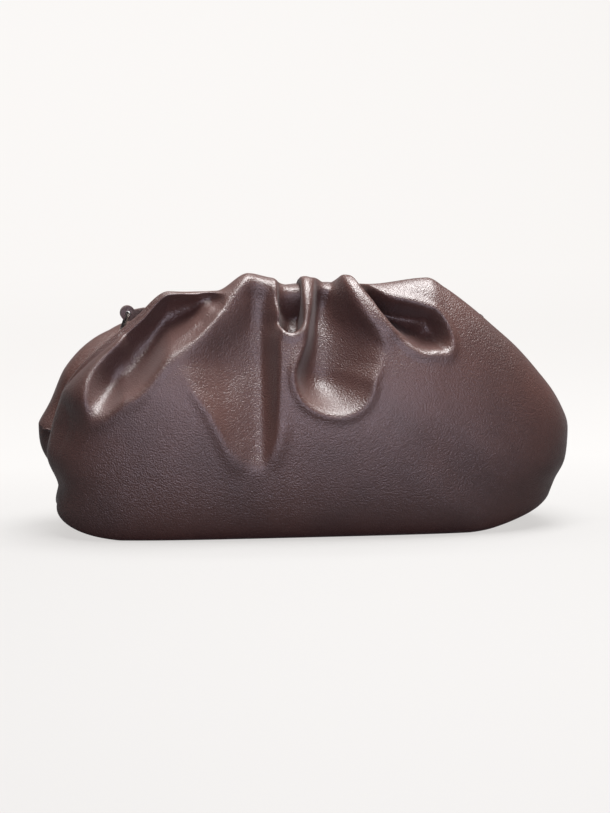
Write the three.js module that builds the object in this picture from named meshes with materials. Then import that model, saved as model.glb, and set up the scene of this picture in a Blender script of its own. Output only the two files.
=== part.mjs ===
// Soft gathered clutch bag: a hollow leather pouch with deep folds, held at its mouth by a closed
// leather-covered frame bar, with a small leather tab and a metal ring at each end of the bar.
// Millimetres, +Z up, the front faces -Y, the origin is under the middle of the pouch on the table.
import * as THREE from 'three';

// Driving sizes
const LENGTH = 366;
const DEPTH = 137;
const HEIGHT = 177;
const WALL = 1.8;
const CREST_SPACING = 66;
const FLOOR_DEPTH = 92;
const MOUTH_LENGTH = 212;
const MOUTH_GAP = 12;
const MOUTH_TAPER = 14;
const CLEARANCE = 0.3;
const FRAME_HEIGHT = 18;
const FRAME_ABOVE_RIM = 12;
const FRAME_SEAM = 1.6;
const TAB_WIDTH = 9;
const TAB_THICKNESS = 3.2;
const TAB_TAIL = 12;
const RING_WIRE = 2.4;
const RING_REACH = 14;
const RING_SIDE_PLAY = 0.5;

// Fineness of the faceted skin
const COLUMNS_OVER_MOUTH = 36;
const COLUMNS_PER_END = 18;
const ROW_COUNTS = { front: [4, 10, 4, 2], back: [3, 7, 3, 2] };
const PATH_STEPS = 32;
const RING_SIDES = 6;

// Heights of the long section lines at places along the pouch. 'at' is a share of half the length,
// the rest are shares of the height: the crests of both faces, the groove between them, and the
// height at which each face stands out furthest.
const SECTIONS = named(['at', 'front', 'back', 'groove', 'frontBelly', 'backBelly'], [
  [-1.00, 0.575, 0.44, 0.41, 0.46, 0.42],
  [-0.94, 0.602, 0.525, 0.43, 0.50, 0.42],
  [-0.88, 0.627, 0.65, 0.455, 0.52, 0.41],
  [-0.77, 0.70, 0.735, 0.53, 0.53, 0.40],
  [-0.62, 0.822, 0.795, 0.70, 0.53, 0.38],
  [-0.51, 0.92, 0.875, 0.84, 0.50, 0.38],
  [-0.34, 0.925, 0.88, 0.832, 0.49, 0.38],
  [-0.225, 0.99, 0.905, 0.845, 0.48, 0.38],
  [-0.10, 0.965, 0.92, 0.86, 0.46, 0.38],
  [0.00, 0.972, 0.925, 0.87, 0.44, 0.38],
  [0.11, 0.96, 0.93, 0.87, 0.43, 0.38],
  [0.22, 0.945, 0.915, 0.865, 0.41, 0.38],
  [0.43, 0.967, 0.905, 0.85, 0.35, 0.38],
  [0.495, 0.93, 0.88, 0.81, 0.32, 0.38],
  [0.60, 0.852, 0.80, 0.71, 0.30, 0.38],
  [0.68, 0.785, 0.73, 0.62, 0.28, 0.37],
  [0.77, 0.712, 0.66, 0.54, 0.27, 0.36],
  [0.86, 0.628, 0.58, 0.47, 0.28, 0.36],
  [0.93, 0.56, 0.51, 0.42, 0.31, 0.36],
  [1.00, 0.45, 0.43, 0.39, 0.36, 0.36],
]);

// Folds: troughs pressed into one face along a path of stations. along is percent of half the length,
// and the rest percent of the height: down is the way down the leather from the crest, left and right
// reach from the path to the trough's two rims, depth is negative for a ridge, and the lips raise the
// leather just past each rim. A fold's steep values shape its two walls, 1 a straight slope and 3 a
// flat bottom with an upright wall, lipWide spreads the lip, curl rolls the rims inwards, and
// straight is the share of the push that goes straight back instead of along the normal.
const STATION_COLUMNS = ['along', 'down', 'left', 'right', 'depth', 'lipLeft', 'lipRight'];
const FOLD_COLUMNS = ['name', 'face', 'steepLeft', 'steepRight', 'lipWide', 'curl', 'straight', 'stations'];
const FOLDS = named(FOLD_COLUMNS, [
  ['leftValley', 'front', 1.1, 1.2, 3.0, 0, 0.85, [
    [-37.5, 8, 6, 6, 7, 0, 0],
    [-44, 12, 10.5, 8, 13, 0, 0],
    [-50, 15.5, 14, 9.5, 17, 0, 0.2],
    [-57, 19, 17, 10.5, 18, 0, 0.6],
    [-64, 21.5, 19, 10.5, 17, 0, 0.9],
    [-70, 22, 16, 8.5, 15, 0.2, 1],
  ]],
  ['leftEdge', 'front', 2, 2, 1, 0, 0, [
    [-44, -1, 1.5, 1.5, 0, 0, 0],
    [-60, -1, 1.6, 1.6, -1.4, 0, 0],
    [-80, -1, 1.6, 1.6, -1.4, 0, 0],
    [-94, -1, 1.5, 1.5, 0, 0, 0],
  ]],
  ['leftCrease', 'front', 2, 2, 1.5, 0, 0, [
    [-33, 10, 1.4, 1.4, 0, 0, 0],
    [-38, 16, 1.6, 1.6, 1.3, 0, 0],
    [-45, 23, 1.6, 1.6, 1.3, 0, 0],
    [-54, 29, 1.4, 1.4, 0, 0, 0],
  ]],
  ['tongue', 'front', 0.95, 1.5, 3.0, 0, 0.3, [
    [-18.5, 3, 5, 5, 1, 0, 0],
    [-18.9, 12, 12.5, 5.5, 7, 0, 0],
    [-19.4, 22, 20, 6, 11, 0, 0],
    [-19.8, 32, 27, 6.5, 12, 0, 0],
    [-20.2, 40, 24.5, 6.5, 12, 0.3, 0],
    [-20.5, 48, 19.5, 6.5, 10.5, 0.8, 0],
    [-20.9, 56, 14.5, 6.5, 8.5, 1, 0.3],
    [-21.2, 64, 10.5, 6, 6, 1, 0.8],
    [-21.4, 72, 6.5, 4.5, 3, 0.8, 0.7],
    [-21.6, 80, 3.5, 3, 0, 0, 0],
  ]],
  ['notch', 'front', 1.3, 3, 1.3, 1.4, 0, [
    [-5.5, -14, 8, 3, 1, 0, 0],
    [-5.5, 0, 8.5, 3, 4, 0.3, 0.6],
    [-6, 11, 8.5, 3.2, 15, 1, 1],
    [-7.5, 21, 7, 4.5, 14, 1.1, 1.1],
  ]],
  ['scoop', 'front', 1.8, 0.95, 2.2, 0, 0.4, [
    [9, -8, 5, 3, 2, 0, 0],
    [7.5, 2, 6.5, 3.5, 8, 0, 0],
    [6, 10, 6, 7, 14, 0, 0],
    [4.5, 18, 5.5, 14, 16, 0, 0],
    [4, 26, 6.5, 19, 15.5, 0.3, 0.1],
    [3.8, 33.5, 8.5, 18.5, 15, 0.7, 0.4],
    [3.2, 41.5, 10.5, 16, 14.5, 1.3, 1.1],
  ]],
  ['pleat', 'front', 2, 2, 2, 0, 0, [
    [11, -8, 3, 3, -1.5, 0, 0],
    [14, 5, 4, 3, -3, 0, 0],
    [19, 15, 4.5, 3.5, -3, 0, 0],
    [25, 23, 5, 4, -2, 0, 0],
    [31, 30, 5, 4, 0, 0, 0],
  ]],
  ['pocket', 'front', 1.2, 2, 1.6, 1.0, 0.3, [
    [17, -6, 2.5, 2.5, 1, 0, 0],
    [20.5, 4, 2.8, 2.5, 8, 0, 0],
    [25.5, 11, 5, 3, 14, 0.4, 0.4],
    [31, 15.5, 7.5, 4.3, 15, 0.8, 0.8],
    [37, 19.5, 9.5, 5.5, 13.5, 1, 1],
    [42, 23.5, 10, 7.5, 10.5, 1.1, 1.1],
  ]],
  ['rightDip', 'front', 0.9, 0.9, 4, 0, 0, [
    [30, 62, 12, 12, 0, 0, 0],
    [52, 72, 15, 15, 1.5, 0, 0],
    [72, 69, 15, 15, 1.5, 0, 0],
    [92, 44, 9, 9, 0.6, 0, 0],
  ]],
  ['backLeft', 'back', 2, 2, 2.4, 0, 0, [
    [-44, -12, 6, 6, 7, 0, 0],
    [-54, 4, 8, 8, 9, 0.4, 0.4],
    [-66, 16, 9, 9, 9, 1, 1],
    [-76, 26, 9, 9, 6, 1.2, 1.2],
  ]],
  ['backLong', 'back', 2, 1.4, 2.4, 0, 0, [
    [-24, -14, 5, 5, 6, 0, 0],
    [-27, 6, 8, 9, 10, 0, 0],
    [-33, 26, 10, 12, 10, 0.6, 0.6],
    [-36, 46, 9, 11, 6, 1, 1],
  ]],
  ['backMiddle', 'back', 1.6, 2.4, 2.2, 0.8, 0, [
    [-2, -14, 4, 5, 6, 0, 0],
    [-1, 4, 6, 7, 10, 0.4, 0.4],
    [2, 22, 8, 11, 11, 1, 1],
    [4, 36, 8, 11, 7, 1.2, 1.2],
  ]],
  ['backRight', 'back', 2, 1.6, 2.2, 0, 0, [
    [22, -13, 5, 5, 6, 0, 0],
    [25, 6, 6, 8, 10, 0.3, 0.3],
    [33, 24, 8, 11, 11, 1, 1],
    [40, 36, 9, 11, 7, 1.2, 1.2],
  ]],
  ['backEnd', 'back', 2, 2, 2.2, 0, 0, [
    [46, -10, 5, 5, 6, 0, 0],
    [54, 6, 7, 7, 8, 0.4, 0.4],
    [64, 18, 8, 8, 7, 0.8, 0.8],
    [72, 26, 8, 8, 4, 1, 1],
  ]],
  ['backDip', 'back', 2, 2, 2, 0, 0, [
    [-40, 84, 10, 10, 1, 0, 0],
    [-10, 90, 11, 11, 1.6, 0, 0],
    [30, 86, 10, 10, 1, 0, 0],
  ]],
]);

// Dents in the two ends. end is -1 for the left and 1 for the right. y and wide are shares of half
// the depth, z and tall shares of the height, and into is a share of half the length.
const END_DENTS = named(['end', 'y', 'z', 'wide', 'tall', 'into'], [
  [-1, 0.0, 0.44, 0.18, 0.28, 0.060],
  [-1, -0.50, 0.45, 0.42, 0.13, 0.075],
  [-1, 0.10, 0.19, 0.90, 0.09, 0.065],
  [1, 0.04, 0.40, 0.17, 0.24, 0.035],
  [1, -0.45, 0.175, 0.50, 0.05, 0.022],
]);

// Shape of the ends and of the folds' own sections
const POLE_SHARE = 0.385;
const GROOVE_LEAST_SHARE = 0.034;
const FLAT_FLOOR_GAIN = 1.02;
const FADE_LENGTH = 14;
const RIM_ROUNDING = 0.22;
const BOTTOM_ROUNDING = 0.5;
const LIP_AT = 0.8;
const LIP_SPREAD = 0.9;
const CURL_AT = 1.05;
const CURL_SPREAD = 0.35;
const DENT_START = 0.6;
const DENT_RAMP = 0.35;

const HALF_LENGTH = LENGTH / 2;
const HALF_MOUTH = MOUTH_LENGTH / 2;
const POLE_HEIGHT = POLE_SHARE * HEIGHT;
const PERCENT = 100;

const LEATHER = { color: 0x553f3b, roughness: 0.5, metalness: 0 };
const DARK_LEATHER = { color: 0x4a3532, roughness: 0.45, metalness: 0 };
const METAL = { color: 0xb9b4ad, roughness: 0.25, metalness: 1 };

// Rows of numbers as objects with named columns
function named(columns, rows) {
  return rows.map((row) => Object.fromEntries(columns.map((column, k) => [column, row[k]])));
}

const clamp = (v, low = 0, high = 1) => Math.min(Math.max(v, low), high);
const hill = (v, at, width) => Math.exp(-(((v - at) / width) ** 2));
const mix = (a, b, share) => a + (b - a) * share;

// Full size in the middle, rounding off to nothing at both ends
function roundedEnd(at, squareness, bluntness) {
  return Math.max(1 - Math.abs(at) ** squareness, 0) ** (1 / bluntness);
}

// Smooth curve through a table's column that never swings past its values
function readTable(table, column, at) {
  const xs = table.map((row) => row.at);
  const ys = table.map((row) => row[column]);
  const slopes = xs.slice(1).map((x, k) => (ys[k + 1] - ys[k]) / (x - xs[k]));
  const turn = (k) => {
    if (k === 0) return slopes[0];
    if (k === slopes.length) return slopes[k - 1];
    const before = slopes[k - 1];
    const after = slopes[k];
    return before * after > 0 ? (2 * before * after) / (before + after) : 0;
  };
  const k = clamp(xs.filter((x) => x < at).length - 1, 0, slopes.length - 1);
  const width = xs[k + 1] - xs[k];
  const t = clamp((at - xs[k]) / width);
  return ys[k] * (1 + 2 * t) * (1 - t) ** 2 + width * turn(k) * t * (1 - t) ** 2
    + ys[k + 1] * t * t * (3 - 2 * t) + width * turn(k + 1) * t * t * (t - 1);
}

// The section's named lines at one place along the pouch, before any fold
function sectionAt(x) {
  const at = clamp(x / HALF_LENGTH, -1, 1);
  const height = (column) => readTable(SECTIONS, column, at) * HEIGHT;
  const leftness = clamp(0.5 - 2 * at);
  const top = roundedEnd(at, 10, 2);
  const plan = mix(roundedEnd(at, 2.7, 2.4), roundedEnd(at, 3.4, 2.4), leftness);
  const low = at < 0 ? roundedEnd(at, 8, 3) : roundedEnd(at, 5.7, 2.4);
  const fromPole = (z, share) => POLE_HEIGHT + (z - POLE_HEIGHT) * share;
  const face = (name) => {
    const crest = height(name);
    const groove = Math.min(height('groove'), crest - GROOVE_LEAST_SHARE * HEIGHT * top);
    return {
      crest: fromPole(crest, top),
      groove: fromPole(groove, top),
      belly: fromPole(height(`${name}Belly`), low),
    };
  };
  return {
    front: face('front'),
    back: face('back'),
    floor: POLE_HEIGHT * Math.max(1 - FLAT_FLOOR_GAIN * low, 0),
    gap: (MOUTH_GAP / 2) * Math.sqrt(clamp((HALF_MOUTH - Math.abs(x)) / MOUTH_TAPER)),
    crestAside: (CREST_SPACING / 2) * plan ** 0.8,
    bellyAside: (DEPTH / 2) * plan,
    floorAside: (FLOOR_DEPTH / 2) * roundedEnd(at, 5, 2) * plan ** 0.3,
  };
}

// One face's half section from the rim over the crest and down to the floor: quarter ellipses, then
// the flat floor. Each entry is [distance from the middle plane, height].
function halfSection(section, faceName) {
  const face = section[faceName];
  const [overCrest, downFace, underBelly, onFloor] = ROW_COUNTS[faceName];
  const quarter = (n, point) => Array.from({ length: n }, (_, k) => point((k / n) * (Math.PI / 2)));
  return [
    ...quarter(overCrest, (a) => [
      mix(section.crestAside, section.gap, Math.cos(a)),
      mix(face.groove, face.crest, Math.sin(a)),
    ]),
    ...quarter(downFace, (a) => [
      mix(section.crestAside, section.bellyAside, Math.sin(a)),
      mix(face.belly, face.crest, Math.cos(a)),
    ]),
    ...quarter(underBelly, (a) => [
      mix(section.floorAside, section.bellyAside, Math.cos(a)),
      mix(face.belly, section.floor, Math.sin(a)),
    ]),
    ...Array.from({ length: onFloor }, (_, k) => [section.floorAside * (1 - k / onFloor), section.floor]),
  ];
}

// Places of the columns: even over the mouth, closing up towards the two ends
function columnPlaces() {
  const end = (k) => {
    const turn = (k / COLUMNS_PER_END) * (Math.PI / 2);
    return HALF_MOUTH + (HALF_LENGTH - HALF_MOUTH) * Math.sin(turn);
  };
  const rightEnd = Array.from({ length: COLUMNS_PER_END }, (_, k) => end(k + 1));
  const middle = Array.from(
    { length: COLUMNS_OVER_MOUTH + 1 },
    (_, k) => HALF_MOUTH * ((2 * k) / COLUMNS_OVER_MOUTH - 1),
  );
  return [...rightEnd.map((x) => -x).reverse(), ...middle, ...rightEnd];
}

// The skin before folding: columns along the pouch, rows from the front rim round to the back rim
function smoothSkin(places) {
  const last = places.length - 1;
  return places.map((x, i) => {
    const section = sectionAt(x);
    const front = halfSection(section, 'front').map(([aside, z]) => new THREE.Vector3(x, -aside, z));
    const back = halfSection(section, 'back').map(([aside, z]) => new THREE.Vector3(x, aside, z));
    const column = [...front, new THREE.Vector3(x, 0, section.floor), ...back.reverse()];
    const isPole = i === 0 || i === last;
    return isPole ? column.map(() => new THREE.Vector3(x, 0, POLE_HEIGHT)) : column;
  });
}

// Directions on the skin at one point: along the pouch, along the section, and outwards
function directions(skin, i, j) {
  const columns = skin.length - 1;
  const rows = skin[0].length - 1;
  const between = (a, b) => new THREE.Vector3().subVectors(a, b).normalize();
  const along = between(skin[Math.min(i + 1, columns)][j], skin[Math.max(i - 1, 0)][j]);
  const down = between(skin[i][Math.min(j + 1, rows)], skin[i][Math.max(j - 1, 0)]);
  const out = new THREE.Vector3().crossVectors(down, along).normalize();
  return { along, down, out };
}

// A fold's stations in millimetres, and a smooth path through them
function foldPath(fold) {
  const stations = named(STATION_COLUMNS, fold.stations).map((station) => ({
    point: new THREE.Vector3((station.along * HALF_LENGTH) / PERCENT, (station.down * HEIGHT) / PERCENT, 0),
    reach: new THREE.Vector3(station.left, station.right, 0).multiplyScalar(HEIGHT / PERCENT),
    rise: new THREE.Vector3(station.depth, station.lipLeft, station.lipRight)
      .multiplyScalar(HEIGHT / PERCENT),
  }));
  const curve = (name, isStill) => {
    const values = stations.map((station) => station[name]);
    return smoothPoints(values, PATH_STEPS, isStill);
  };
  return { points: curve('point', false), reach: curve('reach', true), rise: curve('rise', true) };
}

// Catmull-Rom curve through a few points, coming to a stand at both ends or carried straight on
function smoothPoints(given, steps, isStill) {
  const last = given.length - 1;
  const before = isStill ? given[1] : given[0].clone().multiplyScalar(2).sub(given[1]);
  const after = isStill ? given[last - 1] : given[last].clone().multiplyScalar(2).sub(given[last - 1]);
  const points = [before, ...given, after];
  return Array.from({ length: steps + 1 }, (_, step) => {
    const at = (step / steps) * last;
    const k = Math.min(Math.floor(at), last - 1);
    const t = at - k;
    const weights = [
      -t + 2 * t * t - t ** 3,
      2 - 5 * t * t + 3 * t ** 3,
      t + 4 * t * t - 3 * t ** 3,
      t ** 3 - t * t,
    ];
    const sum = new THREE.Vector3();
    weights.forEach((weight, n) => sum.addScaledVector(points[k + n], weight / 2));
    return sum;
  });
}

// Nearest place on a fold's path: distance, values there, which side, and the direction from it
function nearestOnPath(path, x, down) {
  const here = new THREE.Vector3(x, down, 0);
  let best = { distance: Infinity };
  path.points.slice(1).forEach((next, k) => {
    const step = new THREE.Vector3().subVectors(next, path.points[k]);
    const from = new THREE.Vector3().subVectors(here, path.points[k]);
    const share = clamp(from.dot(step) / step.lengthSq());
    const away = from.addScaledVector(step, -share);
    const distance = away.length();
    if (distance < best.distance) {
      const side = distance > 1e-6 ? (step.x * away.y - step.y * away.x) / (step.length() * distance) : 0;
      best = { distance, k, share, side, away: away.normalize() };
    }
  });
  const { k, share } = best;
  const reach = path.reach[k].clone().lerp(path.reach[k + 1], share);
  const rise = path.rise[k].clone().lerp(path.rise[k + 1], share);
  return { ...best, left: reach.x, right: reach.y, depth: rise.x, lipLeft: rise.y, lipRight: rise.z };
}

// A trough's section: 1 on the path, down to 0 at its rims, with a rounded bottom and edges
function valley(across, steep) {
  const whole = Math.hypot(1, BOTTOM_ROUNDING) - BOTTOM_ROUNDING;
  const rounded = (Math.hypot(across, BOTTOM_ROUNDING) - BOTTOM_ROUNDING) / whole;
  const inside = 1 - Math.min(rounded, 3) ** steep;
  return 0.5 * (inside + Math.hypot(inside, RIM_ROUNDING));
}

// The skin with its folds pressed in, its lips raised and its ends dented
function foldedSkin(skin) {
  const paths = FOLDS.map(foldPath);
  const middleRow = ROW_COUNTS.front.reduce((a, b) => a + b, 0);
  const crestRow = { front: ROW_COUNTS.front[0], back: skin[0].length - 1 - ROW_COUNTS.back[0] };
  const percent = HEIGHT / PERCENT;
  return skin.map((column, i) => {
    const run = [0];
    column.slice(1).forEach((p, k) => run.push(run[k] + p.distanceTo(column[k])));
    const whole = run[run.length - 1];
    return column.map((base, j) => {
      const isFront = j <= middleRow;
      const faceName = isFront ? 'front' : 'back';
      const down = isFront ? run[j] - run[crestRow.front] : run[crestRow.back] - run[j];
      const fromRim = isFront ? run[j] : whole - run[j];
      const fade = THREE.MathUtils.smoothstep(fromRim, 0, FADE_LENGTH);
      const way = directions(skin, i, j);
      const moved = base.clone();
      FOLDS.forEach((fold, k) => {
        if (fold.face !== faceName || fade === 0) return;
        const near = nearestOnPath(paths[k], base.x, down);
        const leftness = 0.5 + 0.5 * near.side;
        const width = mix(near.right, near.left, leftness);
        const across = near.distance / width;
        const steep = mix(fold.steepRight, fold.steepLeft, leftness);
        const past = (near.distance - width) / (fold.lipWide * percent);
        const lip = mix(near.lipRight, near.lipLeft, leftness) * hill(past, LIP_AT, LIP_SPREAD);
        const curl = fold.curl * percent * hill(across, CURL_AT, CURL_SPREAD) * fade;
        const push = fade * (lip - near.depth * valley(across, steep));
        moved.addScaledVector(way.out, push * (1 - fold.straight));
        moved.y -= push * fold.straight * (isFront ? 1 : -1);
        moved.addScaledVector(way.along, -curl * near.away.x);
        moved.addScaledVector(way.down, -curl * near.away.y * (isFront ? 1 : -1));
      });
      return dentedEnd(moved);
    });
  });
}

// A point of the skin after the dents in the two ends, kept above the table
function dentedEnd(point) {
  const dented = point.clone();
  END_DENTS.forEach((dent) => {
    const near = clamp(((dent.end * point.x) / HALF_LENGTH - DENT_START) / DENT_RAMP) ** 2;
    const across = hill(point.y, (dent.y * DEPTH) / 2, (dent.wide * DEPTH) / 2);
    const up = hill(point.z, dent.z * HEIGHT, dent.tall * HEIGHT);
    dented.x -= dent.end * dent.into * HALF_LENGTH * near * across * up;
  });
  dented.z = Math.max(dented.z, 0);
  return dented;
}

// The inner face of the leather: the outer skin moved in by the wall along its own directions.
// Where the two faces meet beyond the mouth, they share one direction.
function innerSkin(outer, places) {
  const lastColumn = outer.length - 1;
  const lastRow = outer[0].length - 1;
  return outer.map((column, i) => column.map((point, j) => {
    if (i === 0 || i === lastColumn) {
      return point.clone().add(new THREE.Vector3(i === 0 ? WALL : -WALL, 0, 0));
    }
    const out = directions(outer, i, j).out;
    const isSeam = (j === 0 || j === lastRow) && Math.abs(places[i]) >= HALF_MOUTH;
    if (isSeam) {
      const other = directions(outer, i, lastRow - j).out;
      out.add(other).normalize();
    }
    return point.clone().addScaledVector(out, -WALL);
  }));
}

// One closed body from an outer and an inner skin, joined along the rim of the mouth
function pouchGeometry(outer, inner, places) {
  const lastColumn = outer.length - 1;
  const lastRow = outer[0].length - 1;
  const positions = [];
  const add = (p) => positions.push(p.x, p.y, p.z) / 3 - 1;
  const isOpen = (i) => Math.abs(places[i]) < HALF_MOUTH;
  const numbered = (skin) => skin.map((column, i) => {
    if (i === 0 || i === lastColumn) {
      const pole = add(column[0]);
      return column.map(() => pole);
    }
    const ids = column.map((p, j) => (j === lastRow && !isOpen(i) ? -1 : add(p)));
    return ids.map((id) => (id < 0 ? ids[0] : id));
  });
  const outside = numbered(outer);
  const inside = numbered(inner);
  const faces = [];
  const triangle = (a, b, c) => {
    if (a !== b && b !== c && c !== a) faces.push(a, b, c);
  };
  for (let i = 0; i < lastColumn; i += 1) {
    for (let j = 0; j < lastRow; j += 1) {
      const corners = [[i, j], [i, j + 1], [i + 1, j + 1], [i + 1, j]];
      const at = corners.map(([a, b]) => outer[a][b]);
      const isTurned = at[0].distanceTo(at[2]) > at[1].distanceTo(at[3]);
      const order = isTurned ? [[1, 2, 3], [1, 3, 0]] : [[0, 1, 2], [0, 2, 3]];
      order.forEach((three) => {
        const [a, b, c] = three.map((k) => corners[k]);
        triangle(outside[a[0]][a[1]], outside[b[0]][b[1]], outside[c[0]][c[1]]);
        triangle(inside[c[0]][c[1]], inside[b[0]][b[1]], inside[a[0]][a[1]]);
      });
    }
    if (isOpen(i) || isOpen(i + 1)) {
      triangle(outside[i][0], outside[i + 1][0], inside[i + 1][0]);
      triangle(outside[i][0], inside[i + 1][0], inside[i][0]);
      triangle(outside[i + 1][lastRow], outside[i][lastRow], inside[i][lastRow]);
      triangle(outside[i + 1][lastRow], inside[i][lastRow], inside[i + 1][lastRow]);
    }
  }
  return indexed(positions, faces);
}

function indexed(positions, faces) {
  const geometry = new THREE.BufferGeometry();
  geometry.setAttribute('position', new THREE.Float32BufferAttribute(positions, 3));
  geometry.setIndex(faces);
  geometry.computeVertexNormals();
  return geometry;
}

// Rings of points joined into a skin: closed on itself, or with a flat cap on each end
function joinedRings(rings, isLoop) {
  const positions = rings.flat().flatMap((p) => [p.x, p.y, p.z]);
  const sides = rings[0].length;
  const faces = [];
  const spans = isLoop ? rings.length : rings.length - 1;
  for (let i = 0; i < spans; i += 1) {
    const next = (i + 1) % rings.length;
    for (let k = 0; k < sides; k += 1) {
      const turn = (k + 1) % sides;
      faces.push(i * sides + k, next * sides + turn, next * sides + k);
      faces.push(i * sides + k, i * sides + turn, next * sides + turn);
    }
  }
  if (!isLoop) {
    const start = THREE.ShapeUtils.triangulateShape(rings[0].map((p) => new THREE.Vector2(p.y, p.z)), []);
    const offset = (rings.length - 1) * sides;
    start.forEach(([a, b, c]) => {
      faces.push(c, b, a);
      faces.push(offset + a, offset + b, offset + c);
    });
  }
  return indexed(positions, faces);
}

// The frame bar: two rounded bars side by side with a seam between them, along the arch of the rim
function frameGeometry(places) {
  const bottom = FRAME_ABOVE_RIM - FRAME_HEIGHT;
  const round = FRAME_HEIGHT / 4;
  // Outline of the section, anticlockwise: share of the half width, and height above the rim
  const outline = [
    [1, bottom + round],
    [1, FRAME_ABOVE_RIM - round],
    [0.85, FRAME_ABOVE_RIM - round / 3],
    [0.5, FRAME_ABOVE_RIM],
    [0.15, FRAME_ABOVE_RIM - FRAME_SEAM / 3],
    [0, FRAME_ABOVE_RIM - FRAME_SEAM],
  ];
  const left = outline.slice(0, -1).map(([share, z]) => [-share, z]).reverse();
  const whole = [[0.6, bottom], ...outline, ...left, [-0.6, bottom]];
  const rings = places
    .filter((x) => Math.abs(x) < HALF_MOUTH)
    .map((x) => {
      const { gap, front, back } = sectionAt(x);
      const half = gap - CLEARANCE;
      const rim = Math.min(front.groove, back.groove);
      return whole.map(([share, z]) => new THREE.Vector3(x, share * half, rim + z));
    });
  return joinedRings(rings, false);
}

// Height of the leather beside the middle plane, on the higher of the two faces
function valleyHeight(x, aside) {
  const section = sectionAt(x);
  const share = clamp((aside - section.gap) / (section.crestAside - section.gap));
  const lift = Math.sqrt(1 - (1 - share) ** 2);
  const wall = (face) => mix(face.groove, face.crest, lift);
  return Math.max(wall(section.front), wall(section.back));
}

// The tab's side view: a strip folded back on itself round the ring's bar, with a short double tail
const TAB_HOLE = RING_WIRE / 2 + CLEARANCE + 0.3;
const TAB_LOOP = TAB_HOLE + TAB_THICKNESS;
// Slope of each tab, the right one as steep as the leather under it nearly allows
const TAB_TILTS = { left: THREE.MathUtils.degToRad(10), right: THREE.MathUtils.degToRad(34) };
const CIRCLE_STEPS = 14;

function tabGeometry() {
  const double = 2 * TAB_THICKNESS;
  const meet = Math.asin((TAB_LOOP - double) / TAB_LOOP);
  const outline = new THREE.Shape();
  outline.moveTo(0, 0);
  outline.lineTo(TAB_TAIL, 0);
  outline.absarc(TAB_TAIL, TAB_LOOP, TAB_LOOP, -Math.PI / 2, Math.PI + meet, false);
  outline.lineTo(0, double);
  outline.closePath();
  const hole = new THREE.Path();
  hole.absarc(TAB_TAIL, TAB_LOOP, TAB_HOLE, 0, 2 * Math.PI, true);
  outline.holes.push(hole);
  const geometry = new THREE.ExtrudeGeometry(outline, {
    depth: TAB_WIDTH,
    curveSegments: CIRCLE_STEPS,
    bevelEnabled: false,
  });
  geometry.translate(0, 0, -TAB_WIDTH / 2);
  geometry.rotateX(Math.PI / 2);
  return geometry;
}

// The ring's middle line in its own plane: a rounded rectangle with its bar at the origin along Y
function ringGeometry() {
  const half = TAB_WIDTH / 2 + RING_SIDE_PLAY + RING_WIRE / 2;
  const corner = RING_WIRE * 0.6;
  const far = RING_REACH;
  const farCorner = half * 0.8;
  const line = [];
  const arc = (cx, cy, r, from, to, n) => {
    for (let k = 0; k <= n; k += 1) {
      const a = mix(from, to, k / n);
      line.push([cx + r * Math.cos(a), cy + r * Math.sin(a)]);
    }
  };
  const quarter = Math.PI / 2;
  arc(corner, half - corner, corner, 2 * quarter, quarter, 2);
  arc(far - farCorner, half - farCorner, farCorner, quarter, 0, 4);
  arc(far - farCorner, farCorner - half, farCorner, 0, -quarter, 4);
  arc(corner, corner - half, corner, -quarter, -2 * quarter, 2);
  const rings = line.map(([x, y], k) => {
    const [ax, ay] = line[(k + line.length - 1) % line.length];
    const [bx, by] = line[(k + 1) % line.length];
    const side = new THREE.Vector3(by - ay, ax - bx, 0).normalize();
    return Array.from({ length: RING_SIDES }, (_, s) => {
      const turn = (2 * Math.PI * s) / RING_SIDES;
      return new THREE.Vector3(x, y, 0)
        .addScaledVector(side, (RING_WIRE / 2) * Math.cos(turn))
        .add(new THREE.Vector3(0, 0, (-RING_WIRE / 2) * Math.sin(turn)));
    });
  });
  return joinedRings(rings, true);
}

function mesh(name, geometry, finish) {
  const piece = new THREE.Mesh(geometry, new THREE.MeshStandardMaterial(finish));
  piece.name = name;
  return piece;
}

// Angle below level at which the ring lies, as steep as the leather under it allows
function ringDrop(barX, barZ, end) {
  const aside = TAB_WIDTH / 2 + RING_SIDE_PLAY + RING_WIRE;
  const isClear = (angle) => [0.4, 0.6, 0.8, 1].every((share) => {
    const reach = share * (RING_REACH + RING_WIRE / 2);
    const x = barX + end * reach * Math.cos(angle);
    const under = barZ - reach * Math.sin(angle) - (RING_WIRE / 2) / Math.cos(angle);
    return under > valleyHeight(x, aside) + CLEARANCE;
  });
  const steps = Array.from({ length: 36 }, (_, k) => THREE.MathUtils.degToRad(70 - 2 * k));
  return steps.find(isClear) ?? 0;
}

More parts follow.
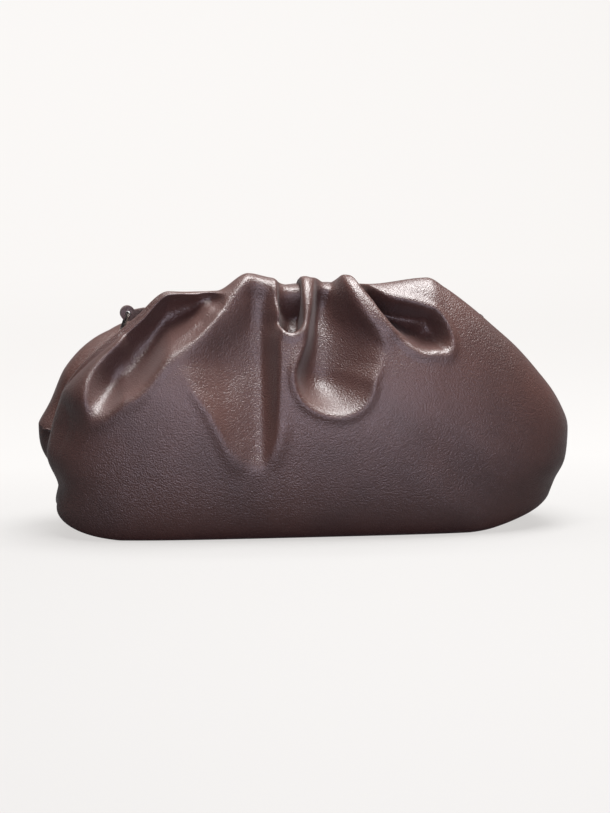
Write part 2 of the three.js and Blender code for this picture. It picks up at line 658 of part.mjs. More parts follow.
// A tab with its ring at one end of the mouth
function endFitting(end) {
  const name = end < 0 ? 'left' : 'right';
  const tilt = TAB_TILTS[name];
  const seatX = HALF_MOUTH + CLEARANCE;
  const seatZ = valleyHeight(end * seatX, TAB_WIDTH / 2) + CLEARANCE;
  const fitting = new THREE.Group();
  const tab = mesh(`ring_tab_${name}`, tabGeometry(), DARK_LEATHER);
  tab.position.set(end * seatX, 0, seatZ);
  tab.rotation.set(0, end < 0 ? -tilt : tilt, end < 0 ? Math.PI : 0, 'YXZ');
  const loopX = TAB_TAIL * Math.cos(tilt) + TAB_LOOP * Math.sin(tilt);
  const loopZ = TAB_LOOP * Math.cos(tilt) - TAB_TAIL * Math.sin(tilt);
  const rest = TAB_HOLE - RING_WIRE / 2 - CLEARANCE;
  const barX = end * (seatX + loopX);
  const barZ = seatZ + loopZ - rest;
  const drop = ringDrop(barX, barZ, end);
  const ring = mesh(`strap_ring_${name}`, ringGeometry(), METAL);
  ring.position.set(barX, 0, barZ);
  ring.rotation.set(0, end < 0 ? -drop : drop, end < 0 ? Math.PI : 0, 'YXZ');
  fitting.add(tab, ring);
  return fitting;
}

const places = columnPlaces();
const outerSkin = foldedSkin(smoothSkin(places));
const pouch = mesh('pouch_body', pouchGeometry(outerSkin, innerSkin(outerSkin, places), places), LEATHER);
const frame = mesh('mouth_frame', frameGeometry(places), DARK_LEATHER);

// The model is moved so that its origin is under the middle of the pouch
const bag = new THREE.Group();
bag.add(pouch, frame, endFitting(-1), endFitting(1));
const box = new THREE.Box3().setFromObject(pouch);
bag.position.set(-(box.min.x + box.max.x) / 2, -(box.min.y + box.max.y) / 2, 0);

export default bag;
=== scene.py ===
"""A soft gathered leather clutch on a pale floor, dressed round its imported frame.

The pouch's leather is one closed shell worked out from tables of sections, folds and end dents.
Its mouth holds a leather-covered frame bar, with a folded tab and a metal ring at each end.
Metres throughout, the front faces -Y.
"""
import math

import bpy
import numpy as np
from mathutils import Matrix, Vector


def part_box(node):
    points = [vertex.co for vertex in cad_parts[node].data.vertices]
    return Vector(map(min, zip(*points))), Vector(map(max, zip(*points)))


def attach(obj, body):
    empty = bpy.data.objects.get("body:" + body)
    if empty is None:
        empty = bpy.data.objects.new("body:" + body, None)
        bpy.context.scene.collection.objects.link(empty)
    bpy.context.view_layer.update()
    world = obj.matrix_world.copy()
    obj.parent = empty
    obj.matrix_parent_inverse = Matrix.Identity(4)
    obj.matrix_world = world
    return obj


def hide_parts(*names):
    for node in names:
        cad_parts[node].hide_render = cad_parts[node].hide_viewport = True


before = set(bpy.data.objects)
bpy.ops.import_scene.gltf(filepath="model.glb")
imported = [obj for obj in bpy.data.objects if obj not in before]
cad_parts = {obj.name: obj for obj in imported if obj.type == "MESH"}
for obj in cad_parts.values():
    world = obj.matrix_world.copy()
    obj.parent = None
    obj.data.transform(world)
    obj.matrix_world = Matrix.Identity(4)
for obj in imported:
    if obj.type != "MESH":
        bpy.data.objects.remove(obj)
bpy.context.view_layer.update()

# Sizes of the pouch, the same as the solids'
LENGTH = 0.366
DEPTH = 0.137
HEIGHT = 0.177
WALL = 0.0018
CREST_SPACING = 0.066
FLOOR_DEPTH = 0.092
MOUTH_LENGTH = 0.212
MOUTH_GAP = 0.012
MOUTH_TAPER = 0.014
HALF_LENGTH = LENGTH / 2
HALF_MOUTH = MOUTH_LENGTH / 2

# Fineness of the leather: columns over the mouth and over each end, and rows of each face from the
# rim over the crest, down the face, under the belly and along the floor
COLUMNS_OVER_MOUTH = 216
COLUMNS_PER_END = 60
ROWS = {"front": (26, 70, 44, 6), "back": (14, 36, 16, 6)}
INNER_STRIDE = 2

# Heights of the long section lines. at is a share of half the length, the rest shares of the height
SECTION_COLUMNS = ("at", "front", "back", "groove", "front_belly", "back_belly")
SECTIONS = (
    (-1.00, 0.575, 0.44, 0.41, 0.46, 0.42),
    (-0.94, 0.602, 0.525, 0.43, 0.50, 0.42),
    (-0.88, 0.627, 0.65, 0.455, 0.52, 0.41),
    (-0.77, 0.70, 0.735, 0.53, 0.53, 0.40),
    (-0.62, 0.822, 0.795, 0.70, 0.53, 0.38),
    (-0.51, 0.92, 0.875, 0.84, 0.50, 0.38),
    (-0.34, 0.925, 0.88, 0.832, 0.49, 0.38),
    (-0.225, 0.99, 0.905, 0.845, 0.48, 0.38),
    (-0.10, 0.965, 0.92, 0.86, 0.46, 0.38),
    (0.00, 0.972, 0.925, 0.87, 0.44, 0.38),
    (0.11, 0.96, 0.93, 0.87, 0.43, 0.38),
    (0.22, 0.945, 0.915, 0.865, 0.41, 0.38),
    (0.43, 0.967, 0.905, 0.85, 0.35, 0.38),
    (0.495, 0.93, 0.88, 0.81, 0.32, 0.38),
    (0.60, 0.852, 0.80, 0.71, 0.30, 0.38),
    (0.68, 0.785, 0.73, 0.62, 0.28, 0.37),
    (0.77, 0.712, 0.66, 0.54, 0.27, 0.36),
    (0.86, 0.628, 0.58, 0.47, 0.28, 0.36),
    (0.93, 0.56, 0.51, 0.42, 0.31, 0.36),
    (1.00, 0.45, 0.43, 0.39, 0.36, 0.36),
)

# Folds: troughs pressed into one face along a path of stations. along is percent of half the length,
# and the rest percent of the height: down is the way down the leather from the crest, left and right
# reach from the path to the trough's two rims, depth is negative for a ridge, and the lips raise the
# leather just past each rim. A fold's steep values shape its two walls, 1 a straight slope and 3 a
# flat bottom with an upright wall, lip_wide spreads the lip, curl rolls the rims inwards, and
# straight is the share of the push that goes straight back instead of along the normal.
FOLD_COLUMNS = ("name", "face", "steep_left", "steep_right", "lip_wide", "curl", "straight", "stations")
STATION_COLUMNS = ("along", "down", "left", "right", "depth", "lip_left", "lip_right")
FOLDS = (
    ("left_valley", "front", 1.1, 1.2, 3.0, 0, 0.85, (
        (-37.5, 8, 6, 6, 7, 0, 0),
        (-44, 12, 10.5, 8, 13, 0, 0),
        (-50, 15.5, 14, 9.5, 17, 0, 0.2),
        (-57, 19, 17, 10.5, 18, 0, 0.6),
        (-64, 21.5, 19, 10.5, 17, 0, 0.9),
        (-70, 22, 16, 8.5, 15, 0.2, 1),
    )),
    ("left_edge", "front", 2, 2, 1, 0, 0, (
        (-44, -1, 1.5, 1.5, 0, 0, 0),
        (-60, -1, 1.6, 1.6, -1.4, 0, 0),
        (-80, -1, 1.6, 1.6, -1.4, 0, 0),
        (-94, -1, 1.5, 1.5, 0, 0, 0),
    )),
    ("left_crease", "front", 2, 2, 1.5, 0, 0, (
        (-33, 10, 1.4, 1.4, 0, 0, 0),
        (-38, 16, 1.6, 1.6, 1.3, 0, 0),
        (-45, 23, 1.6, 1.6, 1.3, 0, 0),
        (-54, 29, 1.4, 1.4, 0, 0, 0),
    )),
    ("tongue", "front", 0.95, 1.5, 3.0, 0, 0.3, (
        (-18.5, 3, 5, 5, 1, 0, 0),
        (-18.9, 12, 12.5, 5.5, 7, 0, 0),
        (-19.4, 22, 20, 6, 11, 0, 0),
        (-19.8, 32, 27, 6.5, 12, 0, 0),
        (-20.2, 40, 24.5, 6.5, 12, 0.3, 0),
        (-20.5, 48, 19.5, 6.5, 10.5, 0.8, 0),
        (-20.9, 56, 14.5, 6.5, 8.5, 1, 0.3),
        (-21.2, 64, 10.5, 6, 6, 1, 0.8),
        (-21.4, 72, 6.5, 4.5, 3, 0.8, 0.7),
        (-21.6, 80, 3.5, 3, 0, 0, 0),
    )),
    ("notch", "front", 1.3, 3, 1.3, 1.4, 0, (
        (-5.5, -14, 8, 3, 1, 0, 0),
        (-5.5, 0, 8.5, 3, 4, 0.3, 0.6),
        (-6, 11, 8.5, 3.2, 15, 1, 1),
        (-7.5, 21, 7, 4.5, 14, 1.1, 1.1),
    )),
    ("scoop", "front", 1.8, 0.95, 2.2, 0, 0.4, (
        (9, -8, 5, 3, 2, 0, 0),
        (7.5, 2, 6.5, 3.5, 8, 0, 0),
        (6, 10, 6, 7, 14, 0, 0),
        (4.5, 18, 5.5, 14, 16, 0, 0),
        (4, 26, 6.5, 19, 15.5, 0.3, 0.1),
        (3.8, 33.5, 8.5, 18.5, 15, 0.7, 0.4),
        (3.2, 41.5, 10.5, 16, 14.5, 1.3, 1.1),
    )),
    ("pleat", "front", 2, 2, 2, 0, 0, (
        (11, -8, 3, 3, -1.5, 0, 0),
        (14, 5, 4, 3, -3, 0, 0),
        (19, 15, 4.5, 3.5, -3, 0, 0),
        (25, 23, 5, 4, -2, 0, 0),
        (31, 30, 5, 4, 0, 0, 0),
    )),
    ("pocket", "front", 1.2, 2, 1.6, 1.0, 0.3, (
        (17, -6, 2.5, 2.5, 1, 0, 0),
        (20.5, 4, 2.8, 2.5, 8, 0, 0),
        (25.5, 11, 5, 3, 14, 0.4, 0.4),
        (31, 15.5, 7.5, 4.3, 15, 0.8, 0.8),
        (37, 19.5, 9.5, 5.5, 13.5, 1, 1),
        (42, 23.5, 10, 7.5, 10.5, 1.1, 1.1),
    )),
    ("right_dip", "front", 0.9, 0.9, 4, 0, 0, (
        (30, 62, 12, 12, 0, 0, 0),
        (52, 72, 15, 15, 1.5, 0, 0),
        (72, 69, 15, 15, 1.5, 0, 0),
        (92, 44, 9, 9, 0.6, 0, 0),
    )),
    ("back_left", "back", 2, 2, 2.4, 0, 0, (
        (-44, -12, 6, 6, 7, 0, 0),
        (-54, 4, 8, 8, 9, 0.4, 0.4),
        (-66, 16, 9, 9, 9, 1, 1),
        (-76, 26, 9, 9, 6, 1.2, 1.2),
    )),
    ("back_long", "back", 2, 1.4, 2.4, 0, 0, (
        (-24, -14, 5, 5, 6, 0, 0),
        (-27, 6, 8, 9, 10, 0, 0),
        (-33, 26, 10, 12, 10, 0.6, 0.6),
        (-36, 46, 9, 11, 6, 1, 1),
    )),
    ("back_middle", "back", 1.6, 2.4, 2.2, 0.8, 0, (
        (-2, -14, 4, 5, 6, 0, 0),
        (-1, 4, 6, 7, 10, 0.4, 0.4),
        (2, 22, 8, 11, 11, 1, 1),
        (4, 36, 8, 11, 7, 1.2, 1.2),
    )),
    ("back_right", "back", 2, 1.6, 2.2, 0, 0, (
        (22, -13, 5, 5, 6, 0, 0),
        (25, 6, 6, 8, 10, 0.3, 0.3),
        (33, 24, 8, 11, 11, 1, 1),
        (40, 36, 9, 11, 7, 1.2, 1.2),
    )),
    ("back_end", "back", 2, 2, 2.2, 0, 0, (
        (46, -10, 5, 5, 6, 0, 0),
        (54, 6, 7, 7, 8, 0.4, 0.4),
        (64, 18, 8, 8, 7, 0.8, 0.8),
        (72, 26, 8, 8, 4, 1, 1),
    )),
    ("back_dip", "back", 2, 2, 2, 0, 0, (
        (-40, 84, 10, 10, 1, 0, 0),
        (-10, 90, 11, 11, 1.6, 0, 0),
        (30, 86, 10, 10, 1, 0, 0),
    )),
)

# Dents in the two ends: end -1 is the left. y and wide are shares of half the depth, z and tall
# shares of the height, and into is a share of half the length.
DENT_COLUMNS = ("end", "y", "z", "wide", "tall", "into")
END_DENTS = (
    (-1, 0.0, 0.44, 0.18, 0.28, 0.060),
    (-1, -0.50, 0.45, 0.42, 0.13, 0.075),
    (-1, 0.10, 0.19, 0.90, 0.09, 0.065),
    (1, 0.04, 0.40, 0.17, 0.24, 0.035),
    (1, -0.45, 0.175, 0.50, 0.05, 0.022),
)

POLE_SHARE = 0.385
POLE_HEIGHT = POLE_SHARE * HEIGHT
GROOVE_LEAST_SHARE = 0.034
FLAT_FLOOR_GAIN = 1.02
FADE_LENGTH = 0.014
RIM_ROUNDING, BOTTOM_ROUNDING = 0.22, 0.5
LIP_AT, LIP_SPREAD = 0.8, 0.9
CURL_AT, CURL_SPREAD = 1.05, 0.35
DENT_START, DENT_RAMP = 0.6, 0.35
PATH_STEPS = 56


def named(columns, rows):
    """Rows of values as dictionaries with named columns."""
    return [dict(zip(columns, row)) for row in rows]


def hill(value, at, width):
    """A smooth bump, 1 at its middle: exp of minus the squared distance in widths."""
    return np.exp(-((value - at) / width) ** 2)


def mix(a, b, share):
    return a + (b - a) * share


def unit(vectors):
    return vectors / np.maximum(np.linalg.norm(vectors, axis=-1, keepdims=True), 1e-12)


def rounded_end(at, squareness, bluntness):
    """Full size in the middle, rounding off to nothing at both ends: (1 - |at|^s)^(1/b)."""
    return np.maximum(1 - np.abs(at) ** squareness, 0) ** (1 / bluntness)


def read_table(table, column, at):
    """Monotone cubic curve through a table's column, which never swings past its values."""
    xs = np.array([row["at"] for row in table])
    ys = np.array([row[column] for row in table])
    widths = np.diff(xs)
    slopes = np.diff(ys) / widths
    before, after = slopes[:-1], slopes[1:]
    same_way = before * after > 0
    turns = np.concatenate([
        slopes[:1],
        np.where(same_way, 2 * before * after / np.where(same_way, before + after, 1), 0),
        slopes[-1:],
    ])
    k = np.clip(np.searchsorted(xs, at) - 1, 0, len(widths) - 1)
    t = (at - xs[k]) / widths[k]
    return (ys[k] * (1 + 2 * t) * (1 - t) ** 2 + widths[k] * turns[k] * t * (1 - t) ** 2
            + ys[k + 1] * t * t * (3 - 2 * t) + widths[k] * turns[k + 1] * t * t * (t - 1))


def section_lines(x):
    """The section's named lines at places x along the pouch, before any fold."""
    table = named(SECTION_COLUMNS, SECTIONS)
    at = np.clip(x / HALF_LENGTH, -1, 1)
    leftness = np.clip(0.5 - 2 * at, 0, 1)
    top = rounded_end(at, 10, 2)
    plan = mix(rounded_end(at, 2.7, 2.4), rounded_end(at, 3.4, 2.4), leftness)
    low = np.where(at < 0, rounded_end(at, 8, 3), rounded_end(at, 5.7, 2.4))
    lines = {
        "floor": POLE_HEIGHT * np.maximum(1 - FLAT_FLOOR_GAIN * low, 0),
        "gap": MOUTH_GAP / 2 * np.sqrt(np.clip((HALF_MOUTH - np.abs(x)) / MOUTH_TAPER, 0, 1)),
        "crest_aside": CREST_SPACING / 2 * plan ** 0.8,
        "belly_aside": DEPTH / 2 * plan,
        "floor_aside": FLOOR_DEPTH / 2 * rounded_end(at, 5, 2) * plan ** 0.3,
    }
    for face in ("front", "back"):
        crest = read_table(table, face, at) * HEIGHT
        groove = np.minimum(read_table(table, "groove", at) * HEIGHT, crest - GROOVE_LEAST_SHARE * HEIGHT * top)
        belly = read_table(table, face + "_belly", at) * HEIGHT
        lines[face + "_crest"] = mix(POLE_HEIGHT, crest, top)
        lines[face + "_groove"] = mix(POLE_HEIGHT, groove, top)
        lines[face + "_belly"] = mix(POLE_HEIGHT, belly, low)
    return {name: line[:, None] for name, line in lines.items()}


def half_section(lines, face):
    """One face from the rim over the crest to the floor, in quarter ellipses: (aside, height) arrays."""
    over_crest, down_face, under_belly, on_floor = ROWS[face]
    crest, groove, belly = (lines[face + "_" + name] for name in ("crest", "groove", "belly"))

    def quarter(n):
        return (np.arange(n) / n * math.pi / 2)[None, :]

    parts = []
    a = quarter(over_crest)
    parts.append((mix(lines["crest_aside"], lines["gap"], np.cos(a)), mix(groove, crest, np.sin(a))))
    a = quarter(down_face)
    parts.append((mix(lines["crest_aside"], lines["belly_aside"], np.sin(a)), mix(belly, crest, np.cos(a))))
    a = quarter(under_belly)
    parts.append((mix(lines["floor_aside"], lines["belly_aside"], np.cos(a)), mix(belly, lines["floor"], np.sin(a))))
    share = (np.arange(on_floor) / on_floor)[None, :]
    parts.append((lines["floor_aside"] * (1 - share), lines["floor"] + 0 * share))
    return [np.concatenate([part[k] for part in parts], axis=1) for k in (0, 1)]


def column_places():
    """Places of the columns: even over the mouth, closing up as a sine towards the two ends."""
    turn = np.arange(1, COLUMNS_PER_END + 1) / COLUMNS_PER_END * math.pi / 2
    right_end = HALF_MOUTH + (HALF_LENGTH - HALF_MOUTH) * np.sin(turn)
    middle = np.linspace(-HALF_MOUTH, HALF_MOUTH, COLUMNS_OVER_MOUTH + 1)
    return np.concatenate([-right_end[::-1], middle, right_end])


def smooth_skin(places):
    """The skin before folding: columns along the pouch, rows from the front rim to the back rim."""
    lines = section_lines(places)
    sides = []
    for face, lean in (("front", -1), ("back", 1)):
        aside, height = half_section(lines, face)
        sides.append(np.stack([places[:, None] + 0 * aside, lean * aside, height], axis=-1))
    middle = np.stack([places, 0 * places, lines["floor"][:, 0]], axis=-1)[:, None]
    skin = np.concatenate([sides[0], middle, sides[1][:, ::-1]], axis=1)
    for end in (0, -1):
        skin[end] = (places[end], 0, POLE_HEIGHT)
    return skin


def directions(skin):
    """Unit directions at every point: along the pouch, down the section, and outwards."""
    along = unit(np.gradient(skin, axis=0))
    down = unit(np.gradient(skin, axis=1))
    return along, down, unit(np.cross(down, along))


def spline(points, steps):
    """Catmull-Rom curve through a few rows of values. The first two columns are places and run
    straight on past both ends, where the rest come to a stand."""
    p = np.asarray(points, float)
    before, after = p[1].copy(), p[-2].copy()
    before[:2] = 2 * p[0, :2] - p[1, :2]
    after[:2] = 2 * p[-1, :2] - p[-2, :2]
    p = np.concatenate([[before], p, [after]])
    t = np.linspace(0, len(p) - 3, steps + 1)
    k = np.minimum(t.astype(int), len(p) - 4)
    u = (t - k)[:, None]
    a, b, c, d = p[k], p[k + 1], p[k + 2], p[k + 3]
    bend = 2 * a - 5 * b + 4 * c - d
    return 0.5 * (2 * b + (c - a) * u + bend * u ** 2 + (3 * b - a - 3 * c + d) * u ** 3)


def nearest_on_path(path, x, down):
    """Nearest place on a path: distance, step number with its share, side, and direction from it."""
    best = np.full(x.shape, np.inf)
    place, side, away_x, away_down = (np.zeros(x.shape) for _ in range(4))
    for k, (start, step) in enumerate(zip(path[:-1], np.diff(path, axis=0))):
        length = np.hypot(*step)
        from_x, from_down = x - start[0], down - start[1]
        on = np.clip((from_x * step[0] + from_down * step[1]) / length ** 2, 0, 1)
        off_x, off_down = from_x - on * step[0], from_down - on * step[1]
        distance = np.hypot(off_x, off_down)
        near = distance < best
        safe = np.maximum(distance, 1e-9)
        best = np.where(near, distance, best)
        place = np.where(near, k + on, place)
        side = np.where(near, (step[0] * off_down - step[1] * off_x) / (length * safe), side)
        away_x = np.where(near, off_x / safe, away_x)
        away_down = np.where(near, off_down / safe, away_down)
    return best, place, side, away_x, away_down


def valley(across, steep):
    """A trough's section: 1 on the path, down to 0 at its rims, with a rounded bottom and edges."""
    whole = math.hypot(1, BOTTOM_ROUNDING) - BOTTOM_ROUNDING
    rounded = (np.hypot(across, BOTTOM_ROUNDING) - BOTTOM_ROUNDING) / whole
    inside = 1 - np.minimum(rounded, 3) ** steep
    return 0.5 * (inside + np.hypot(inside, RIM_ROUNDING))


def folded_skin(skin):
    """The skin with its folds pressed in along the normals, lips raised and ends dented."""
    along, down_way, out = directions(skin)
    step = np.linalg.norm(np.diff(skin, axis=1), axis=2)
    run = np.concatenate([np.zeros((len(skin), 1)), np.cumsum(step, axis=1)], axis=1)
    is_front = np.arange(skin.shape[1])[None, :] <= sum(ROWS["front"])
    crest_front, crest_back = ROWS["front"][0], skin.shape[1] - 1 - ROWS["back"][0]
    down = np.where(is_front, run - run[:, [crest_front]], run[:, [crest_back]] - run)
    from_rim = np.where(is_front, run, run[:, [-1]] - run)
    fade = np.clip(from_rim / FADE_LENGTH, 0, 1)
    fade = fade * fade * (3 - 2 * fade)
    percent = HEIGHT / 100
    x = skin[..., 0]
    sign = np.where(is_front, 1, -1)
    folded = skin.copy()
    for fold in named(FOLD_COLUMNS, FOLDS):
        on = fade * (is_front if fold["face"] == "front" else ~is_front)
        scale = np.array([HALF_LENGTH / 100] + [percent] * 6)
        stations = spline(fold["stations"], PATH_STEPS) * scale
        distance, place, side, away_x, away_down = nearest_on_path(stations[:, :2], x, down)
        left, right, depth, lip_left, lip_right = (np.interp(place, np.arange(PATH_STEPS + 1), stations[:, k])
                                                   for k in range(2, 7))
        leftness = 0.5 + 0.5 * side
        width = mix(right, left, leftness)
        across = distance / width
        steep = mix(fold["steep_right"], fold["steep_left"], leftness)
        past = (distance - width) / (fold["lip_wide"] * percent)
        lip = mix(lip_right, lip_left, leftness) * hill(past, LIP_AT, LIP_SPREAD)
        curl = fold["curl"] * percent * hill(across, CURL_AT, CURL_SPREAD)
        push = on * (lip - depth * valley(across, steep))
        folded += out * (push * (1 - fold["straight"]))[..., None]
        folded[..., 1] -= sign * push * fold["straight"]
        folded -= along * (on * curl * away_x)[..., None] + down_way * (sign * on * curl * away_down)[..., None]
    for dent in named(DENT_COLUMNS, END_DENTS):
        near = np.clip((dent["end"] * folded[..., 0] / HALF_LENGTH - DENT_START) / DENT_RAMP, 0, 1) ** 2
        across = hill(folded[..., 1], dent["y"] * DEPTH / 2, dent["wide"] * DEPTH / 2)
        up = hill(folded[..., 2], dent["z"] * HEIGHT, dent["tall"] * HEIGHT)
        folded[..., 0] -= dent["end"] * dent["into"] * HALF_LENGTH * near * across * up
    folded[..., 2] = np.maximum(folded[..., 2], 0)
    return folded


def inner_skin(outer, is_open):
    """The leather's inner face: the outer one moved in by the wall. Closed columns share a direction."""
    out = directions(outer)[2]
    shared = unit(out[:, 0] + out[:, -1])
    closed = ~is_open
    out[closed, 0] = shared[closed]
    out[closed, -1] = shared[closed]
    out[0] = (-1, 0, 0)
    out[-1] = (1, 0, 0)
    return outer - WALL * out


def grid_ids(shape, first, is_open):
    """Vertex numbers of a skin: one at each pole, and one line where the faces meet past the mouth."""
    ids = first + np.arange(shape[0] * shape[1]).reshape(shape)
    ids[0] = ids[0, 0]
    ids[-1] = ids[-1, 0]
    ids[~is_open, -1] = ids[~is_open, 0]
    return ids


def grid_faces(ids):
    """Quads of a grid of vertex numbers, as four columns."""
    return np.stack([ids[:-1, :-1], ids[:-1, 1:], ids[1:, 1:], ids[1:, :-1]], axis=-1).reshape(-1, 4)


def tidy_faces(faces):
    """Faces without repeated corners: quads that touch a pole become triangles, empty ones go."""
    kept = []
    for face in faces:
        corners = [a for a, b in zip(face, face[1:] + face[:1]) if a != b]
        if len(corners) > 2 and len(set(corners)) == len(corners):
            kept.append(corners)
    return kept


def new_mesh(name, vertices, faces, smooth=True):
    """A mesh object at the origin, with unused vertices dropped."""
    used = np.unique(np.concatenate([np.asarray(face) for face in faces]) if len(faces) < 4000
                     else np.array([corner for face in faces for corner in face]))
    number = np.full(len(vertices), -1)
    number[used] = np.arange(len(used))
    faces = [[int(number[corner]) for corner in face] for face in faces]
    mesh = bpy.data.meshes.new(name)
    mesh.from_pydata(np.asarray(vertices)[used].tolist(), [], faces)
    mesh.update()
    mesh.polygons.foreach_set("use_smooth", np.full(len(mesh.polygons), smooth))
    piece = bpy.data.objects.new(name, mesh)
    bpy.context.scene.collection.objects.link(piece)
    return piece, used


def make_pouch():
    """The leather shell: a fine outer skin, a coarser inner one, joined round the mouth's rim."""
    places = column_places()
    outer = folded_skin(smooth_skin(places))
    low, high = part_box("pouch_body")
    middle = (outer.reshape(-1, 3).min(axis=0) + outer.reshape(-1, 3).max(axis=0)) / 2
    shift = np.array([(low[0] + high[0]) / 2 - middle[0], (low[1] + high[1]) / 2 - middle[1], 0])
    is_open = np.abs(places) < HALF_MOUTH - 1e-9
    inner = inner_skin(outer, is_open)[::INNER_STRIDE, ::INNER_STRIDE]
    inner_open = is_open[::INNER_STRIDE]
    outside = grid_ids(outer.shape[:2], 0, is_open)
    inside = grid_ids(inner.shape[:2], outer.shape[0] * outer.shape[1], inner_open)
    faces = grid_faces(outside).tolist() + grid_faces(inside)[:, ::-1].tolist()
    rim = []
    spans = [k for k in range(len(inner) - 1) if inner_open[k] or inner_open[k + 1]]
    for row, turned in ((0, False), (-1, True)):
        for k in spans:
            a, b, c = outside[2 * k, row], outside[2 * k + 1, row], outside[2 * k + 2, row]
            d, e = inside[k, row], inside[k + 1, row]
            for face in ((a, b, d), (b, e, d), (b, c, e)):
                rim.append([int(v) for v in (face[::-1] if turned else face)])
    vertices = np.concatenate([outer.reshape(-1, 3), inner.reshape(-1, 3)]) + shift
    piece, _ = new_mesh("pouch_leather", vertices, tidy_faces(faces + rim))
    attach(piece, "root")
    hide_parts("pouch_body")
    return piece, shift


class Value:
    """A shader socket that takes part in sums: each operator adds its Math node."""

    def __init__(self, tree, socket):
        self.tree, self.socket = tree, socket

    def math(self, operation, other=0.0, turned=False):
        first, second = (other, self) if turned else (self, other)
        return self.tree.node("ShaderNodeMath", {"operation": operation}, {0: first, 1: second})

    def __add__(self, other):
        return self.math("ADD", other)

    def __sub__(self, other):
        return self.math("SUBTRACT", other)

    def __rsub__(self, other):
        return self.math("SUBTRACT", other, turned=True)

    def __mul__(self, other):
        return self.math("MULTIPLY", other)

    def __pow__(self, other):
        return self.math("POWER", other)

    __radd__ = __add__
    __rmul__ = __mul__


class Shader:
    """A material's node tree, with one way to add a node and link what feeds it."""

    def __init__(self, name):
        self.material = bpy.data.materials.new(name)
        self.material.use_nodes = True
        self.nodes = self.material.node_tree.nodes
        self.links = self.material.node_tree.links
        self.surface = self.nodes["Principled BSDF"]

    def set(self, node, sockets):
        for name, value in sockets.items():
            if isinstance(value, Value):
                self.links.new(value.socket, node.inputs[name])
            elif isinstance(value, bpy.types.NodeSocket):
                self.links.new(value, node.inputs[name])
            else:
                node.inputs[name].default_value = value

    def node(self, kind, settings=None, sockets=None, output=0):
        node = self.nodes.new(kind)
        for name, value in (settings or {}).items():
            setattr(node, name, value)
        self.set(node, sockets or {})
        return Value(self, node.outputs[output])

    def ramp(self, factor, stops):
        """A colour ramp: stops are (position, grey or colour)."""
        node = self.nodes.new("ShaderNodeValToRGB")
        elements = node.color_ramp.elements
        while len(elements) < len(stops):
            elements.new(0.5)
        for element, (position, colour) in zip(elements, stops):
            element.position = position
            element.color = colour if isinstance(colour, tuple) else (colour, colour, colour, 1)
        self.set(node, {0: factor})
        return Value(self, node.outputs[0])

    def place(self, scale=(1, 1, 1)):
        """The point on the object, in metres times a scale."""
        place = self.node("ShaderNodeTexCoord", output=3)
        return self.node("ShaderNodeMapping", sockets={0: place, 3: scale})

    def noise(self, place, scale, detail=3.0, roughness=0.5):
        return self.node("ShaderNodeTexNoise", sockets={
            "Vector": place, "Scale": scale, "Detail": detail, "Roughness": roughness})

    def colours(self, factor, a, b):
        """Two colours mixed by a factor."""
        node = self.nodes.new("ShaderNodeMix")
        node.data_type = "RGBA"
        self.set(node, {0: factor, 6: a, 7: b})
        return Value(self, node.outputs[2])

    def bump(self, height, distance, strength=1.0, under=None):
        sockets = {"Height": height, "Distance": distance, "Strength": strength}
        if under is not None:
            sockets["Normal"] = under
        return self.node("ShaderNodeBump", sockets=sockets)


def pebble(shader, place, size):
    """Leather grain of about that size: small rounded cells with soft creases between them."""
    wander = shader.node("ShaderNodeTexNoise", sockets={
        "Vector": place, "Scale": 0.35 / size, "Detail": 2.0}, output=1)
    bent = shader.node("ShaderNodeVectorMath", {"operation": "MULTIPLY_ADD"}, {
        0: wander, 1: (size * 1.2,) * 3, 2: place})
    cells = shader.node("ShaderNodeTexVoronoi", {"feature": "SMOOTH_F1"}, {
        "Vector": bent, "Scale": 1 / size, "Smoothness": 0.35, "Randomness": 1.0})
    return 1 - cells ** 1.4


LEATHER_BROWN = (0.047, 0.021, 0.017, 1)
LEATHER_DEEP = (0.031, 0.014, 0.012, 1)
LEATHER_PALE = (0.060, 0.032, 0.027, 1)


def leather_finish(name, brown, deep, pale, grain=0.0011, roughness=0.38):
    """Soft nappa: a fine pebble, faint colour clouds, and a satin surface a little uneven in gloss."""
    shader = Shader(name)
    place = shader.place()
    clouds = shader.noise(place, 14, 4, 0.55)
    specks = shader.noise(place, 900, 3, 0.6)
    cells = pebble(shader, place, grain)
    fine = pebble(shader, place, grain * 0.45)
    colour = shader.colours(shader.ramp(clouds, ((0.38, 0.0), (0.66, 1.0))), brown, deep)
    colour = shader.colours(shader.ramp(specks, ((0.45, 0.0), (0.75, 0.55))), colour, pale)
    gloss = shader.ramp(clouds, ((0.35, roughness - 0.04), (0.7, roughness + 0.06)))
    worn = cells * 0.7 + fine * 0.3
    relief = shader.bump(worn, 0.0005, 0.8)
    waves = shader.noise(place, 45, 3, 0.5)
    relief = shader.bump(waves, 0.0012, 0.35, under=relief)
    shader.set(shader.surface, {"Base Color": colour, "Roughness": gloss, "Normal": relief,
                                "Sheen Weight": 0.05, "Sheen Roughness": 0.4, "Coat Weight": 0.06,
                                "Coat Roughness": 0.25})
    return shader.material


def metal_finish():
    """Polished pale metal with faint rubbing."""
    shader = Shader("ring_metal")
    place = shader.place()
    rub = shader.noise(place, 260, 4, 0.6)
    shader.set(shader.surface, {
        "Base Color": shader.colours(rub, (0.30, 0.27, 0.245, 1), (0.38, 0.35, 0.32, 1)),
        "Metallic": 1.0,
        "Roughness": shader.ramp(rub, ((0.3, 0.14), (0.7, 0.30))),
        "Normal": shader.bump(rub, 0.00005, 0.3),
    })
    return shader.material


def plain_finish(name, colour, roughness):
    shader = Shader(name)
    shader.set(shader.surface, {"Base Color": colour, "Roughness": roughness})
    return shader.material


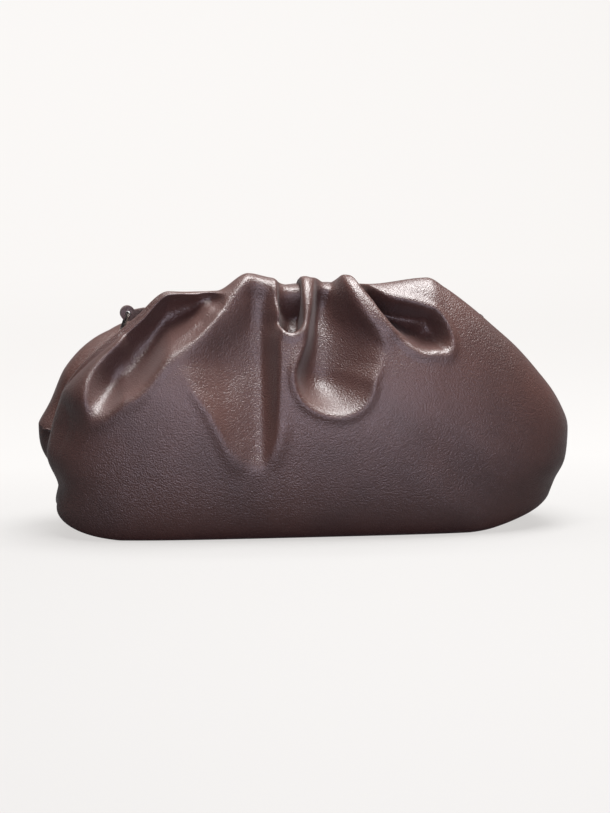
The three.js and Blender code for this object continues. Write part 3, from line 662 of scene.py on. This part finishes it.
def floor_finish():
    """Pale paper to the camera, mostly by its own light so that shadows stay faint, a little more of
    it towards the back, and dark to the bag, whose underside gets hardly any light from it."""
    shader = Shader("pale_floor")
    seen = shader.node("ShaderNodeLightPath")
    far = shader.node("ShaderNodeSeparateXYZ", sockets={0: shader.place()}, output=1)
    shader.set(shader.surface, {
        "Base Color": shader.colours(seen, (0.05, 0.047, 0.045, 1), (0.040, 0.0395, 0.039, 1)),
        "Roughness": 0.8,
        "Emission Color": (1.0, 0.975, 0.955, 1),
        "Emission Strength": seen * shader.ramp(far * 0.5, ((0.0, 0.625), (0.15, 0.75), (1.0, 0.86))),
    })
    return shader.material


def make_stage():
    """A pale floor that sweeps up into a backdrop behind the bag, as one profile carried along X."""
    half_width, back_wall, bend, front = 3.0, 2.6, 0.9, -3.0
    turn = np.linspace(0, math.pi / 2, 24)
    profile = np.concatenate([
        [[front, 0.0]],
        np.stack([back_wall - bend + bend * np.sin(turn), bend * (1 - np.cos(turn))], axis=-1),
        [[back_wall, 3.4]],
    ])
    left = np.insert(profile, 0, -half_width, axis=1)
    right = np.insert(profile, 0, half_width, axis=1)
    n = len(profile)
    faces = [[k, n + k, n + k + 1, k + 1] for k in range(n - 1)]
    sweep, _ = new_mesh("sweep", np.concatenate([left, right]), faces)
    sweep.data.materials.append(floor_finish())


def area_light(name, place, target, size, power, colour=(1, 1, 1)):
    lamp = bpy.data.lights.new(name, "AREA")
    lamp.shape = "RECTANGLE"
    lamp.size, lamp.size_y = size
    lamp.energy = power
    lamp.color = colour
    piece = bpy.data.objects.new(name, lamp)
    piece.location = place
    piece.rotation_euler = (Vector(target) - Vector(place)).to_track_quat("-Z", "Y").to_euler()
    piece.visible_camera = False
    bpy.context.scene.collection.objects.link(piece)


def make_lights():
    area_light("top_softbox", (0.15, -0.17, 1.35), (0, 0, 0.05), (1.2, 0.7), 84)
    area_light("front_card", (-0.05, -1.5, 0.19), (0, 0, 0.08), (1.4, 0.36), 16, (0.90, 0.83, 1.0))
    area_light("low_card", (-0.1, -0.60, 0.01), (-0.1, -0.50, 1.0), (1.7, 0.85), 12, (0.90, 0.85, 1.0))
    area_light("backdrop_wash", (0, 0.9, 2.4), (0, 2.4, 0.7), (2.4, 0.6), 75)
    world = bpy.data.worlds.new("studio")
    world.use_nodes = True
    world.node_tree.nodes["Background"].inputs["Color"].default_value = (1.0, 0.98, 0.97, 1)
    world.node_tree.nodes["Background"].inputs["Strength"].default_value = 0.02
    bpy.context.scene.world = world


CAMERA_AZIMUTH, CAMERA_ELEVATION, CAMERA_DISTANCE = -8.0, 7.0, 1.5
CAMERA_TARGET = (0.0, 0.0, 0.082)
SEEN_HEIGHT = 0.553


def make_camera():
    """The photograph's view: a little from the left and above, SEEN_HEIGHT across the frame's long side."""
    azimuth, elevation = math.radians(CAMERA_AZIMUTH), math.radians(CAMERA_ELEVATION)
    back = Vector((math.sin(azimuth) * math.cos(elevation), -math.cos(azimuth) * math.cos(elevation),
                   math.sin(elevation)))
    camera = bpy.data.objects.new("camera", bpy.data.cameras.new("camera"))
    camera.location = Vector(CAMERA_TARGET) + back * CAMERA_DISTANCE
    camera.rotation_euler = (-back).to_track_quat("-Z", "Y").to_euler()
    camera.data.sensor_fit = "AUTO"
    camera.data.sensor_width = 36
    camera.data.lens = 36 * CAMERA_DISTANCE / SEEN_HEIGHT
    bpy.context.scene.collection.objects.link(camera)
    bpy.context.scene.camera = camera


make_camera()
make_stage()
make_lights()
bpy.context.scene.view_settings.view_transform = "Standard"

pouch_leather, shift = make_pouch()
pouch_leather.data.materials.append(leather_finish("nappa", LEATHER_BROWN, LEATHER_DEEP, LEATHER_PALE))

strip_leather = leather_finish("strip_leather", LEATHER_DEEP, LEATHER_DEEP, LEATHER_BROWN, grain=0.0008)
metal = metal_finish()
for node, finish in (("mouth_frame", strip_leather), ("ring_tab_left", strip_leather),
                     ("ring_tab_right", strip_leather), ("strap_ring_left", metal), ("strap_ring_right", metal)):
    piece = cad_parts[node]
    piece.data.materials.clear()
    piece.data.materials.append(finish)
